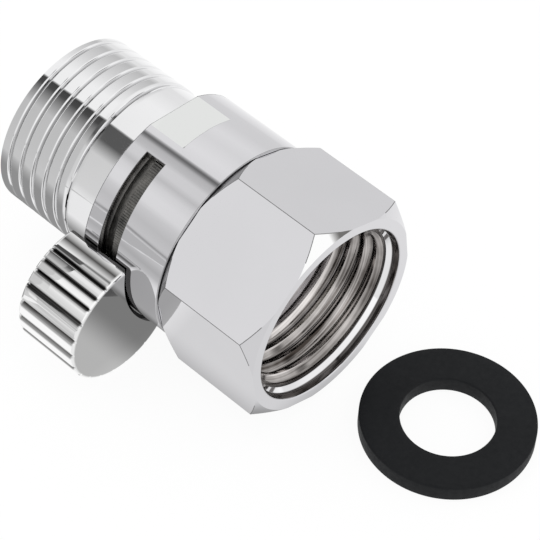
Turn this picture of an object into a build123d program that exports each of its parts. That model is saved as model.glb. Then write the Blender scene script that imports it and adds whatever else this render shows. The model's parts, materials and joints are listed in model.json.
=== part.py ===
from build123d import *
import os
from math import acos, asin, atan2, cos, degrees, hypot, pi, radians, sin

os.makedirs("parts", exist_ok=True)

# In-line shut-off valve for a shower head. It lies on a corner of its hex and on its knob, with its
# inlet washer flat beside it. The flow axis runs along +X, towards the inlet's mouth. Stations along
# the flow axis are counted from the mouth, so they are negative inside the valve.

# Half-inch pipe thread, 14 turns to the inch
thread_radius = 10.4775  # at the crest of the male thread
thread_pitch = 1.814
thread_depth = 1.162
thread_flat = 0.3  # width of a crest or a root

# Inlet hex
hex_across_flats = 23.7
hex_length = 13.8
hex_face_radius = 12.0  # where the corner chamfers start, on both end faces
front_chamfer = 1.35  # along the axis, at a corner
rear_chamfer = 1.7
mouth_radius = 10.75
mouth_chamfer = 0.9
inlet_thread_length = 7.7
inlet_waterway = 6.0  # radius
spigot_length = 3.2  # screws into the body
spigot_wall = 2.58  # outside the disc pocket

# Valve body
barrel_radius = 12.2
barrel_length = 11.2
barrel_edge = 0.15  # small edge break beside the hex
barrel_wall = 1.4  # outside the rotor's bore
end_wall = 1.0  # between the rotor's bore and the barrel's end
neck_radius = 10.3
neck_length = 4.1
outlet_thread_length = 10.75
socket_step = 0.4  # the spigot's socket is this much wider than the rotor's bore
thrust_step = 2.35  # the journal's bore is this much narrower than the rotor's
journal_length = 4.9
journal_stop = 1.25  # step at the journal's end, down to the outlet's waterway
screw_fit = 0.02  # radial, between spigot and socket
face_gap = 0.1  # between the spigot's end and what lies behind it

# Two wrench flats at the barrel's outlet end
flat_depth = 0.54
flat_length = 4.9
flat_from_lever = 120.5  # degrees round the axis

# Lever: stem, slot and knob
lever_from_corner = 75.5  # degrees, from the hex corner that the valve lies on
lever_travel = 85.0  # degrees, about a quarter turn
stop_play = 0.6  # degrees left at each end of the slot
slot_width = 2.65
slot_from_end = 3.45  # from the barrel's outlet end to the middle of the slot
stem_radius = 1.15
stem_in_rotor = 3.95  # length of stem below the rotor's surface
stem_in_knob = 4.5  # length of stem past the knob's middle
stem_fit = 0.02  # radial, in the rotor and the knob
knob_radius = 7.6
knob_thickness = 8.15
knob_over_barrel = 1.84  # from the barrel's surface out to the knob's middle
knob_shift = 0.72  # the knob's middle lies this far past the slot, towards the outlet
knob_clearance = 0.35  # between barrel and knob
knob_bevel_share = 0.026  # of the knob's radius
groove_count = 14
groove_pitch = 14.4  # degrees
groove_share = 0.055  # depth, of the knob's radius
groove_lip = 1.8  # degrees from the outermost grooves to the plain round part
first_groove = 98.0  # degrees from the outward direction

# Rotor
rotor_clearance = 0.05
journal_clearance = 0.05
rotor_waterway = 5.0  # radius
band_height = 0.1  # the knurled band stands this far above the channel beside it
band_past_slot = 0.57  # from the slot's middle to the band's outlet edge
ring_section = 1.0  # diameter of an O-ring's section
groove_margin = 0.3  # an O-ring groove is this much wider than its ring
ring_land = 0.6  # metal left between a groove and the next edge
slip_thickness = 0.56
slip_clearance = 0.1  # radial, round the slip ring
axial_play = 0.02

# Ceramic discs and their seal
disc_clearance = 0.1  # radial, between a disc and its pocket
disc_thickness = 2.18
disc_inset = 0.5  # from the moving disc's back to the spigot's end
port_inner = 1.8
port_rim = 2.2  # ceramic left outside the ports
port_angle = 76.0
key_width = 3.0
key_height = 1.2
key_clearance = 0.05
seal_thickness = 1.5
seal_width = 2.0
seal_clearance = 0.2  # radial room round the seal

# Inlet washer, laid beside the mouth
washer_radius = 9.7
washer_bore = 5.25  # radius
washer_thickness = 2.0
washer_edge = 0.2
washer_ahead = 12.4  # from the mouth to the washer's middle
washer_aside = 6.25

# Stations along the flow axis
hex_rear = -hex_length
barrel_end = hex_rear - barrel_length
neck_end = barrel_end - neck_length
outlet_end = neck_end - outlet_thread_length
seat_face = -(mouth_chamfer + inlet_thread_length)
spigot_end = hex_rear - spigot_length
rotor_shoulder = barrel_end + end_wall
journal_end = rotor_shoulder - journal_length
slot_middle = barrel_end + slot_from_end
knob_middle = slot_middle - knob_shift
moving_rear = spigot_end + disc_inset
moving_front = moving_rear + disc_thickness
fixed_rear = moving_front + axial_play
fixed_front = fixed_rear + disc_thickness
pocket_floor = fixed_front + axial_play + seal_thickness
rotor_front = spigot_end - face_gap
rotor_rear = rotor_shoulder + slip_thickness + 2 * axial_play

# How the valve lies: its lowest hex corner and its knob touch the floor together
corner_radius = hex_across_flats / 2 / cos(pi / 6)
knob_from_axis = barrel_radius + knob_over_barrel
lever_lead = radians(lever_from_corner)
across = corner_radius - knob_from_axis * cos(lever_lead)
along = knob_from_axis * sin(lever_lead)
corner_lean = acos(knob_radius / hypot(across, along)) - atan2(along, across)
corner_angle = degrees(corner_lean) - 90  # degrees about +X, from +Y
lever_angle = corner_angle - lever_from_corner
flat_angle = lever_angle - flat_from_lever
axis_height = corner_radius * cos(corner_lean)
knob_side = knob_from_axis * cos(radians(lever_angle)) - knob_radius
axis_y = -(knob_side + washer_aside + washer_radius) / 2
mouth_x = (-outlet_end - washer_ahead - washer_radius) / 2

axis_origin = Vector(mouth_x, axis_y, axis_height)
flow_axis = Axis(axis_origin, (1, 0, 0))

# Radii and widths that follow from the sizes above
rotor_bore = barrel_radius - barrel_wall
rotor_radius = rotor_bore - rotor_clearance
stem_root = rotor_radius - stem_in_rotor
journal_bore = rotor_bore - thrust_step
journal_radius = journal_bore - journal_clearance
outlet_waterway = journal_bore - journal_stop
socket_radius = rotor_bore + socket_step
spigot_radius = socket_radius - screw_fit
pocket_radius = spigot_radius - spigot_wall
disc_radius = pocket_radius - disc_clearance
boss_radius = disc_radius - key_height
port_outer = disc_radius - port_rim
seal_outer = pocket_radius - seal_clearance
root_radius = thread_radius - thread_depth
ring_groove = ring_section + groove_margin
slot_half_angle = degrees(asin(stem_radius / barrel_radius)) + stop_play
slot_sweep = lever_travel + 2 * slot_half_angle
slot_start = lever_angle - lever_travel - slot_half_angle


# A plane that holds the flow axis, with its y axis pointing outwards at an angle about +X from +Y
def axial_plane(turn):
    out = Vector(0, cos(radians(turn)), sin(radians(turn)))
    return Plane(axis_origin, x_dir=(1, 0, 0), z_dir=Vector(1, 0, 0).cross(out))


profile_plane = axial_plane(90)


# A plane across the flow axis, with its x axis pointing outwards and its origin at a distance from it
def cross_plane(station, turn=0.0, height=0.0):
    out = Vector(0, cos(radians(turn)), sin(radians(turn)))
    return Plane(axis_origin + Vector(station, 0, 0) + out * height, x_dir=out, z_dir=(1, 0, 0))


# A plane that faces outwards from the flow axis, with its x axis along the flow
def outward_plane(station, turn, height):
    out = Vector(0, cos(radians(turn)), sin(radians(turn)))
    return Plane(axis_origin + Vector(station, 0, 0) + out * height, x_dir=(1, 0, 0), z_dir=out)


# A closed outline of (station, radius) points, ready to be turned about the flow axis
def half_section(*points):
    with BuildSketch(profile_plane) as section:
        with BuildLine():
            Polyline(*points, close=True)
        make_face()
    return section.sketch


# Thread ridges between two stations, as (station, radius) points. The first station is at a root and
# the last at the end of a crest.
def ridges(first, last, root, crest):
    flank = thread_pitch / 2 - thread_flat
    count = int((first - last - flank) / thread_pitch)
    points = [(first, root)]
    for turn in range(count, -1, -1):
        crest_end = last + turn * thread_pitch
        points.append((crest_end + thread_flat + flank, root))
        points.append((crest_end + thread_flat, crest))
        points.append((crest_end, crest))
        if turn:
            points.append((crest_end - flank, root))
    return points


# A ring of round section that fills a groove whose floor has the given radius
def ring_section_face(station, floor_radius):
    with BuildSketch(profile_plane) as section:
        with Locations((station, floor_radius + axial_play + ring_section / 2)):
            Circle(ring_section / 2)
    return section.sketch


# Two opposite sector ports of a ceramic disc, the first about the plane's x axis
def port_sectors(station, turn):
    half = radians(port_angle / 2)
    with BuildSketch(cross_plane(station, turn)) as ports:
        for centre in (0, pi):
            low = centre - half
            high = centre + half
            with BuildLine():
                inner = ThreePointArc(
                    (port_inner * cos(low), port_inner * sin(low)),
                    (port_inner * cos(centre), port_inner * sin(centre)),
                    (port_inner * cos(high), port_inner * sin(high)),
                )
                outer = ThreePointArc(
                    (port_outer * cos(low), port_outer * sin(low)),
                    (port_outer * cos(centre), port_outer * sin(centre)),
                    (port_outer * cos(high), port_outer * sin(high)),
                )
                Line(inner @ 0, outer @ 0)
                Line(inner @ 1, outer @ 1)
            make_face()
    return ports.sketch


# Two opposite blocks, from one radius to another, for keys, lugs and the notches that take them
def key_blocks(station, turn, width, low, high):
    with BuildSketch(cross_plane(station, turn)) as blocks:
        for side in (-1, 1):
            with Locations((0, side * (low + high) / 2)):
                Rectangle(width, high - low)
    return blocks.sketch


# Valve body: barrel, neck and male outlet thread, turned from one bar
with BuildPart() as valve_body:
    revolve(
        half_section(
            (hex_rear, socket_radius),
            (hex_rear, barrel_radius - barrel_edge),
            (hex_rear - barrel_edge, barrel_radius),
            (barrel_end, barrel_radius),
            (barrel_end, neck_radius),
            (neck_end, neck_radius),
            *ridges(neck_end, outlet_end, root_radius, thread_radius),
            (outlet_end, outlet_waterway),
            (journal_end, outlet_waterway),
            (journal_end, journal_bore),
            (rotor_shoulder, journal_bore),
            (rotor_shoulder, rotor_bore),
            (spigot_end - face_gap / 2, rotor_bore),
            (spigot_end - face_gap / 2, socket_radius),
        ),
        axis=flow_axis,
    )
    # slot for the stem, about a quarter turn long
    with BuildSketch(axial_plane(slot_start)) as slot_face:
        with Locations((slot_middle, barrel_radius)):
            Rectangle(slot_width, 2 * (barrel_radius - rotor_bore) + 2 * rotor_clearance)
    revolve(slot_face.sketch, axis=flow_axis, revolution_arc=slot_sweep, mode=Mode.SUBTRACT)
    # wrench flats on opposite sides
    for turn in (flat_angle, flat_angle + 180):
        with BuildSketch(outward_plane(barrel_end + flat_length / 2, turn, barrel_radius - flat_depth)):
            Rectangle(flat_length, 2 * barrel_radius)
        extrude(amount=2 * flat_depth, mode=Mode.SUBTRACT)
valve_body.part.label = "valve_body"
export_step(valve_body.part, "parts/valve_body.step")

# Inlet hex: female thread and washer seat in front, threaded spigot behind
with BuildPart() as inlet_hex:
    with BuildSketch(cross_plane(hex_rear, corner_angle)):
        RegularPolygon(hex_across_flats / 2, 6, major_radius=False)
    extrude(amount=hex_length)
    # both ends are turned to a cone, which takes the corners off
    revolve(
        half_section(
            (0, 0),
            (0, hex_face_radius),
            (-front_chamfer, corner_radius),
            (-front_chamfer, 2 * corner_radius),
            (hex_rear + rear_chamfer, 2 * corner_radius),
            (hex_rear + rear_chamfer, corner_radius),
            (hex_rear, hex_face_radius),
            (hex_rear, 0),
        ),
        axis=flow_axis,
        mode=Mode.INTERSECT,
    )
    # spigot with a groove for the body's seal
    revolve(
        half_section(
            (hex_rear + rear_chamfer, 0),
            (hex_rear + rear_chamfer, spigot_radius - ring_section),
            (hex_rear - ring_groove, spigot_radius - ring_section),
            (hex_rear - ring_groove, spigot_radius),
            (spigot_end, spigot_radius),
            (spigot_end, 0),
        ),
        axis=flow_axis,
    )
    # female thread, seat, waterway and disc pocket
    revolve(
        half_section(
            (mouth_chamfer, 0),
            (mouth_chamfer, mouth_radius),
            (0, mouth_radius),
            *ridges(-mouth_chamfer, seat_face, root_radius, thread_radius),
            (seat_face, inlet_waterway),
            (pocket_floor, inlet_waterway),
            (pocket_floor, pocket_radius),
            (spigot_end - face_gap, pocket_radius),
            (spigot_end - face_gap, 0),
        ),
        axis=flow_axis,
        mode=Mode.SUBTRACT,
    )
    # keyways for the fixed disc, open at the spigot's end
    extrude(
        key_blocks(
            spigot_end,
            lever_angle,
            key_width + 2 * key_clearance,
            pocket_radius - key_height,
            disc_radius + key_height + key_clearance,
        ),
        amount=fixed_front + axial_play - spigot_end,
        mode=Mode.SUBTRACT,
    )
inlet_hex.part.label = "inlet_hex"
export_step(inlet_hex.part, "parts/inlet_hex.step")

# Seal between the hex's spigot and the body
with BuildPart() as body_o_ring:
    revolve(ring_section_face(hex_rear - ring_groove / 2, spigot_radius - ring_section), axis=flow_axis)
body_o_ring.part.label = "body_o_ring"
export_step(body_o_ring.part, "parts/body_o_ring.step")

# Rubber ring that presses the two discs together
with BuildPart() as disc_seal:
    revolve(
        half_section(
            (pocket_floor, seal_outer - seal_width),
            (pocket_floor, seal_outer),
            (pocket_floor - seal_thickness, seal_outer),
            (pocket_floor - seal_thickness, seal_outer - seal_width),
        ),
        axis=flow_axis,
    )
disc_seal.part.label = "disc_seal"
export_step(disc_seal.part, "parts/disc_seal.step")

# Fixed ceramic disc, keyed in the spigot
with BuildPart() as fixed_disc:
    with BuildSketch(cross_plane(fixed_rear, lever_angle)):
        Circle(disc_radius)
    extrude(amount=disc_thickness)
    extrude(
        key_blocks(fixed_rear, lever_angle, key_width, boss_radius, disc_radius + key_height),
        amount=disc_thickness,
    )
    extrude(port_sectors(fixed_rear, lever_angle), amount=disc_thickness, mode=Mode.SUBTRACT)
fixed_disc.part.label = "fixed_disc"
export_step(fixed_disc.part, "parts/fixed_disc.step")

# Moving ceramic disc, notched for the rotor's lugs
with BuildPart() as moving_disc:
    with BuildSketch(cross_plane(moving_rear, lever_angle)):
        Circle(disc_radius)
    extrude(amount=disc_thickness)
    extrude(
        key_blocks(moving_rear, lever_angle, key_width, boss_radius, disc_radius + key_height),
        amount=disc_thickness,
        mode=Mode.SUBTRACT,
    )
    extrude(port_sectors(moving_rear, lever_angle), amount=disc_thickness, mode=Mode.SUBTRACT)
moving_disc.part.label = "moving_disc"
export_step(moving_disc.part, "parts/moving_disc.step")

# Rotor: drum with the stem's hole, journal behind it, boss and lugs in front
inlet_groove_front = rotor_front - ring_land
inlet_groove_rear = inlet_groove_front - ring_groove
outlet_groove_rear = journal_end + axial_play + ring_land
outlet_groove_front = outlet_groove_rear + ring_groove
band_edge = slot_middle - band_past_slot
with BuildPart() as rotor:
    revolve(
        half_section(
            (moving_rear - axial_play, port_outer),
            (moving_rear - axial_play, boss_radius),
            (rotor_front, boss_radius),
            (rotor_front, rotor_radius),
            (inlet_groove_front, rotor_radius),
            (inlet_groove_front, rotor_radius - ring_section),
            (inlet_groove_rear, rotor_radius - ring_section),
            (inlet_groove_rear, rotor_radius),
            (band_edge, rotor_radius),
            (band_edge, rotor_radius - band_height),
            (rotor_rear, rotor_radius - band_height),
            (rotor_rear, journal_radius),
            (outlet_groove_front, journal_radius),
            (outlet_groove_front, journal_radius - ring_section),
            (outlet_groove_rear, journal_radius - ring_section),
            (outlet_groove_rear, journal_radius),
            (journal_end + axial_play, journal_radius),
            (journal_end + axial_play, rotor_waterway),
            (slot_middle, rotor_waterway),
        ),
        axis=flow_axis,
    )
    extrude(
        key_blocks(
            rotor_front,
            lever_angle,
            key_width - 2 * key_clearance,
            boss_radius + key_clearance,
            disc_radius - key_clearance,
        ),
        amount=moving_front - key_clearance - rotor_front,
    )
    # blind hole for the stem
    with BuildSketch(outward_plane(slot_middle, lever_angle, stem_root)):
        Circle(stem_radius + stem_fit)
    extrude(amount=rotor_bore - stem_root, mode=Mode.SUBTRACT)
rotor.part.label = "rotor"
export_step(rotor.part, "parts/rotor.step")

# The rotor's two seals
with BuildPart() as inlet_o_ring:
    inlet_groove_middle = (inlet_groove_front + inlet_groove_rear) / 2
    revolve(ring_section_face(inlet_groove_middle, rotor_radius - ring_section), axis=flow_axis)
inlet_o_ring.part.label = "inlet_o_ring"
export_step(inlet_o_ring.part, "parts/inlet_o_ring.step")

with BuildPart() as outlet_o_ring:
    outlet_groove_middle = (outlet_groove_front + outlet_groove_rear) / 2
    revolve(ring_section_face(outlet_groove_middle, journal_radius - ring_section), axis=flow_axis)
outlet_o_ring.part.label = "outlet_o_ring"
export_step(outlet_o_ring.part, "parts/outlet_o_ring.step")

# Thin plastic ring that takes the rotor's thrust
with BuildPart() as slip_ring:
    revolve(
        half_section(
            (rotor_shoulder, journal_bore),
            (rotor_shoulder, rotor_bore - slip_clearance),
            (rotor_shoulder + slip_thickness, rotor_bore - slip_clearance),
            (rotor_shoulder + slip_thickness, journal_bore),
        ),
        axis=flow_axis,
    )
slip_ring.part.label = "slip_ring"
export_step(slip_ring.part, "parts/slip_ring.step")

# Stud through the slot, screwed into the rotor and the knob
with BuildPart() as knob_stem:
    with BuildSketch(outward_plane(slot_middle, lever_angle, stem_root)):
        Circle(stem_radius)
    extrude(amount=knob_from_axis + stem_in_knob - stem_root)
knob_stem.part.label = "knob_stem"
export_step(knob_stem.part, "parts/knob_stem.step")


# The knob's outline: lobes between narrow grooves, and a plain round part beside the barrel
def knob_outline():
    groove_radius = knob_radius * (1 - groove_share)
    angles = [radians(first_groove - index * groove_pitch) for index in range(groove_count)]
    valleys = [(groove_radius * cos(angle), groove_radius * sin(angle)) for angle in angles]
    half = radians(groove_pitch / 2)
    lip = radians(groove_lip)
    crowns = [(knob_radius * cos(angle - half), knob_radius * sin(angle - half)) for angle in angles]
    first_rim = (knob_radius * cos(angles[0] + lip), knob_radius * sin(angles[0] + lip))
    last_rim = (knob_radius * cos(angles[-1] - lip), knob_radius * sin(angles[-1] - lip))
    with BuildSketch(cross_plane(knob_middle - knob_thickness / 2, lever_angle, knob_from_axis)) as outline:
        with BuildLine():
            for index in range(groove_count - 1):
                ThreePointArc(valleys[index], crowns[index], valleys[index + 1])
            Line(valleys[-1], last_rim)
            ThreePointArc(last_rim, (-knob_radius, 0), first_rim)
            Line(first_rim, valleys[0])
        make_face()
    return outline.sketch


# Knob, hollowed on its inner side so that it hugs the barrel
with BuildPart() as knob:
    extrude(knob_outline(), amount=knob_thickness)
    chamfer(knob.faces().filter_by(Axis.X).edges(), length=knob_radius * knob_bevel_share)
    with BuildSketch(cross_plane(knob_middle - knob_thickness, 0)):
        Circle(barrel_radius + knob_clearance)
    extrude(amount=2 * knob_thickness, mode=Mode.SUBTRACT)
    with BuildSketch(outward_plane(slot_middle, lever_angle, barrel_radius)):
        Circle(stem_radius + stem_fit)
    extrude(amount=knob_from_axis + stem_in_knob + stem_fit - barrel_radius, mode=Mode.SUBTRACT)
knob.part.label = "knob"
export_step(knob.part, "parts/knob.step")

# Inlet washer, laid flat beside the mouth
with BuildPart() as inlet_washer:
    with BuildSketch(Plane.XY):
        with Locations((mouth_x + washer_ahead, axis_y + washer_aside)):
            Circle(washer_radius)
            Circle(washer_bore, mode=Mode.SUBTRACT)
    extrude(amount=washer_thickness)
    fillet(inlet_washer.edges().filter_by(GeomType.CIRCLE), radius=washer_edge)
inlet_washer.part.label = "inlet_washer"
export_step(inlet_washer.part, "parts/inlet_washer.step")
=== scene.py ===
import json
import math
from functools import reduce
import bmesh
import bpy
from mathutils import Matrix, Vector


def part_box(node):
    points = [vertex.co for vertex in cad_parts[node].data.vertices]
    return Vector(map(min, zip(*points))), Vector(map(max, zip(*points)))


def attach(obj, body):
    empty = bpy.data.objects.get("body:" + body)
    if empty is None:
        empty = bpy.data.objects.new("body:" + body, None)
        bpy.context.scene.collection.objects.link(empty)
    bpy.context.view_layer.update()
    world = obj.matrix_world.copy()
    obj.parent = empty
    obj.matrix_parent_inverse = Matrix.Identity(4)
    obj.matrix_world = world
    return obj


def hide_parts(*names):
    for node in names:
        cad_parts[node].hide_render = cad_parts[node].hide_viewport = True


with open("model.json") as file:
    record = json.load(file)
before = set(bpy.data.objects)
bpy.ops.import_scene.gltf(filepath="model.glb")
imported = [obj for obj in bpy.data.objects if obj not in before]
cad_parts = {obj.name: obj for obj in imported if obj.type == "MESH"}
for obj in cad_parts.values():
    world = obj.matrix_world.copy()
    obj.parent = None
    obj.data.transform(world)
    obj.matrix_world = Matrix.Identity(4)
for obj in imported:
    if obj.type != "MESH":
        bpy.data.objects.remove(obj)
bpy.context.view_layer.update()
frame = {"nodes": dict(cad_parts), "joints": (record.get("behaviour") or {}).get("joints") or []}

mm = 0.001
scene = bpy.context.scene

# the flow axis runs along X through the lever's pivot, and stations count in mm from the mouth, negative inwards
pivot = frame["joints"][0]["pos_m"]
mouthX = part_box("inlet_hex")[1].x
axisY, axisZ = pivot[1], pivot[2]
axisPoint = Vector((mouthX, axisY, axisZ))
slotMiddle = (pivot[0] - mouthX) / mm
# turns are in degrees about +X from +Y
leverTurn = -155.3    # where the lever points at rest
flatTurn = -275.8     # the upper wrench flat
cornerTurn = -79.8    # the hex corner that touches the floor
alongFlow, againstFlow = Vector((1, 0, 0)), Vector((-1, 0, 0))


def outwards(turn):
    return Vector((0, math.cos(math.radians(turn)), math.sin(math.radians(turn))))


def place(station, radius, turn):
    a = math.radians(turn)
    return Vector((mouthX + station * mm, axisY + radius * mm * math.cos(a), axisZ + radius * mm * math.sin(a)))


def stationOf(point):
    return (point.x - mouthX) / mm


def radiusOf(point):
    return math.hypot(point.y - axisY, point.z - axisZ) / mm


# small tools for meshes

def newObject(name, mesh):
    obj = bpy.data.objects.new(name, mesh)
    scene.collection.objects.link(obj)
    return obj


def meshFromBmesh(name, bm):
    mesh = bpy.data.meshes.new(name)
    bm.to_mesh(mesh)
    bm.free()
    return mesh


def rounded(points, sizes, steps=3):
    # cuts the corners of a closed outline with short arcs, sizes holds corner number: length cut off
    result = []
    for i, p in enumerate(points):
        p = Vector(p)
        size = sizes.get(i, 0)
        if not size:
            result.append(p)
            continue
        before = (Vector(points[i - 1]) - p).normalized() * size + p
        after = (Vector(points[(i + 1) % len(points)]) - p).normalized() * size + p
        for k in range(steps + 1):
            t = k / steps
            result.append(before * (1 - t) ** 2 + p * 2 * t * (1 - t) + after * t ** 2)
    return result


def skin(bm, rings, closed=True):
    # faces between neighbouring rows of vertices
    for here, there in zip(rings, rings[1:]):
        count = len(here)
        for j in range(count if closed else count - 1):
            k = (j + 1) % count
            bm.faces.new((here[j], here[k], there[k], there[j]))


def latheMesh(name, section, steps, spot=place):
    # turns a closed (station, radius) outline about the flow axis, or about where spot puts it
    bm = bmesh.new()
    rings = [[bm.verts.new(spot(s, r, 360 * k / steps)) for s, r in section] for k in range(steps)]
    skin(bm, rings + rings[:1])
    bmesh.ops.remove_doubles(bm, verts=bm.verts, dist=0.0000002)
    bmesh.ops.recalc_face_normals(bm, faces=bm.faces)
    return meshFromBmesh(name, bm)


def prismMesh(name, rows):
    # a block between the first and the last of some rows of corners
    bm = bmesh.new()
    rings = [[bm.verts.new(p) for p in row] for row in rows]
    bm.faces.new(rings[0])
    bm.faces.new(rings[-1][::-1])
    skin(bm, rings)
    bmesh.ops.recalc_face_normals(bm, faces=bm.faces)
    return meshFromBmesh(name, bm)


def cleaned(obj, reach=0.0000004):
    # welds what a cut leaves and closes pinholes
    bm = bmesh.new()
    bm.from_mesh(obj.data)
    bmesh.ops.remove_doubles(bm, verts=bm.verts, dist=reach)
    bmesh.ops.dissolve_degenerate(bm, dist=reach, edges=bm.edges)
    bmesh.ops.holes_fill(bm, edges=[e for e in bm.edges if len(e.link_faces) == 1], sides=8)
    bm.to_mesh(obj.data)
    bm.free()


def applied(obj):
    # swaps the mesh for the evaluated one and drops the modifiers
    depsgraph = bpy.context.evaluated_depsgraph_get()
    mesh = bpy.data.meshes.new_from_object(obj.evaluated_get(depsgraph))
    mesh.name = obj.name
    obj.modifiers.clear()
    old = obj.data
    obj.data = mesh
    bpy.data.meshes.remove(old)
    return obj


def combine(obj, cutterMesh, operation="DIFFERENCE"):
    cutter = newObject("cutter", cutterMesh)
    mod = obj.modifiers.new("cut", "BOOLEAN")
    mod.operation = operation
    mod.solver = "EXACT"
    mod.object = cutter
    cleaned(applied(obj))
    bpy.data.objects.remove(cutter)
    bpy.data.meshes.remove(cutterMesh)


def newShade(obj, name="shade", domain="FACE"):
    return obj.data.attributes.new(name, "FLOAT", domain).data


def polished(obj, sizes, flats, inside=0.0, sharpFrom=28):
    # small rounded edges with painted shade on them, on all sharp edges further from the flow axis than a radius
    bm = bmesh.new()
    bm.from_mesh(obj.data)
    weight = bm.edges.layers.float.new("bevel_weight_edge")
    for e in bm.edges:
        isSharp = len(e.link_faces) == 2 and e.calc_face_angle(0) > math.radians(sharpFrom)
        e[weight] = 1.0 if isSharp and radiusOf((e.verts[0].co + e.verts[1].co) / 2) > inside else 0.0
    bm.to_mesh(obj.data)
    bm.free()
    mesh = obj.data
    mesh.materials.clear()
    for _ in range(2):
        mesh.materials.append(chromeHex)
    for face in mesh.polygons:
        face.use_smooth = True
        face.material_index = 0
    bevel = obj.modifiers.new("edges", "BEVEL")
    bevel.width = sizes["edgeSoft"] * mm
    bevel.segments = 2
    bevel.use_clamp_overlap = False
    bevel.limit_method = "WEIGHT"
    bevel.material = 1
    cleaned(applied(obj))
    shade = newShade(obj)
    for face in obj.data.polygons:
        shade[face.index].value = sizes["edgeShade"] if face.material_index else 0.0
    smoothed(obj, 35, flats)
    for face in obj.data.polygons:
        face.material_index = 0


def smoothed(obj, angle, flats=()):
    # smooth shading, but not across sharper edges, nor from a flat or a bevel to what is beside it
    bm = bmesh.new()
    bm.from_mesh(obj.data)
    for f in bm.faces:
        f.smooth = True
        f.tag = any(f.normal.dot(flat) > 0.99999 for flat in flats)
    for e in bm.edges:
        e.smooth = len(e.link_faces) == 2 and e.calc_face_angle(0) < math.radians(angle)
        if e.smooth:
            one, two = e.link_faces
            e.smooth = one.tag == two.tag and one.material_index == two.material_index
    bm.to_mesh(obj.data)
    bm.free()


def finishPiece(obj, body, material, slotName, *nodes):
    obj.data.materials.clear()
    obj.data.materials.append(material)
    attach(obj, body)
    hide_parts(*nodes)
    print("piece", obj.name, len(obj.data.polygons), "faces")


# small tools for node trees

def isSocket(value):
    return hasattr(value, "is_output")


def nodeOf(tree, kind, inputs=None, **settings):
    node = tree.nodes.new(kind)
    for key, value in settings.items():
        setattr(node, key, value)
    for key, value in (inputs or {}).items():
        if isSocket(value):
            tree.links.new(value, node.inputs[key])
        else:
            node.inputs[key].default_value = value
    return node


def treeOf(*values):
    return next(value.id_data for value in values if isSocket(value))


def calc(operation, *values, clamp=False):
    inputs = dict(enumerate(values))
    return nodeOf(treeOf(*values), "ShaderNodeMath", inputs, operation=operation, use_clamp=clamp).outputs[0]


def plus(a, b):
    return calc("ADD", a, b)


def minus(a, b):
    return calc("SUBTRACT", a, b)


def times(a, b):
    return calc("MULTIPLY", a, b)


def blend(share, zero, one):
    # a number that goes from zero to one with the share
    return plus(times(one, share), times(zero, minus(1.0, share)))


def spread(value, low, high, toLow=0.0, toHigh=1.0, kind="LINEAR"):
    inputs = {"Value": value, "From Min": low, "From Max": high, "To Min": toLow, "To Max": toHigh}
    return nodeOf(treeOf(value), "ShaderNodeMapRange", inputs, interpolation_type=kind).outputs[0]


def ramped(value, stops):
    node = nodeOf(treeOf(value), "ShaderNodeValToRGB", {0: value})
    elements = node.color_ramp.elements
    while len(elements) < len(stops):
        elements.new(0.5)
    for element, (position, colour) in zip(elements, stops):
        element.position = position
        element.color = (*colour, 1) if isinstance(colour, tuple) else (colour, colour, colour, 1)
    return node.outputs[0]


def mixed(share, one, two):
    # two colours, each a tuple or a socket
    first, second = [colour if isSocket(colour) else (*colour, 1) for colour in (one, two)]
    inputs = {"Factor": share, 6: first, 7: second}
    return nodeOf(treeOf(share, one, two), "ShaderNodeMix", inputs, data_type="RGBA").outputs[2]


def noise(coords, scale, detail=2.0, roughness=0.5):
    inputs = {"Vector": coords, "Scale": scale, "Detail": detail, "Roughness": roughness}
    return nodeOf(treeOf(coords), "ShaderNodeTexNoise", inputs).outputs[0]


def parts(vector):
    return nodeOf(treeOf(vector), "ShaderNodeSeparateXYZ", {0: vector}).outputs


def vectorOf(*values):
    return nodeOf(treeOf(*values), "ShaderNodeCombineXYZ", dict(enumerate(values))).outputs[0]


def attribute(tree, name):
    return nodeOf(tree, "ShaderNodeAttribute", attribute_name=name).outputs["Fac"]


def coordsOf(tree, kind="Object"):
    return nodeOf(tree, "ShaderNodeTexCoord").outputs[kind]


def clearedTree(owner, outKind="ShaderNodeOutputMaterial"):
    owner.use_nodes = True
    tree = owner.node_tree
    tree.nodes.clear()
    return tree, tree.nodes.new(outKind).inputs[0]


def shaderOf(tree, kind, **inputs):
    return nodeOf(tree, "ShaderNode" + kind, inputs).outputs[0]


def mixedShader(share, one, two):
    return nodeOf(treeOf(share), "ShaderNodeMixShader", {0: share, 1: one, 2: two}).outputs[0]


# finishes

def newFinish(name, look):
    # a principled material in the object's own coordinates, where look may give the metal's share
    material = bpy.data.materials.new(name)
    tree, surface = clearedTree(material)
    shader = nodeOf(tree, "ShaderNodeBsdfPrincipled")
    tree.links.new(shader.outputs[0], surface)
    shader.inputs["Metallic"].default_value = look.get("metallic", 0.0)
    coords = coordsOf(tree)
    return material, tree, shader.inputs, coords


def stained(cloud, look):
    return ramped(cloud, [(look["deepAt"], look["deepColour"]), (look["brightAt"], look["colour"])])


def finished(tree, inputs, colour, rough, height=None, depth=0.0):
    # depth is the height of the bumps in mm
    tree.links.new(colour, inputs["Base Color"])
    tree.links.new(rough, inputs["Roughness"])
    if height:
        bump = nodeOf(tree, "ShaderNodeBump", {"Strength": 1.0, "Distance": depth * mm, "Height": height})
        tree.links.new(bump.outputs[0], inputs["Normal"])


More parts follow.
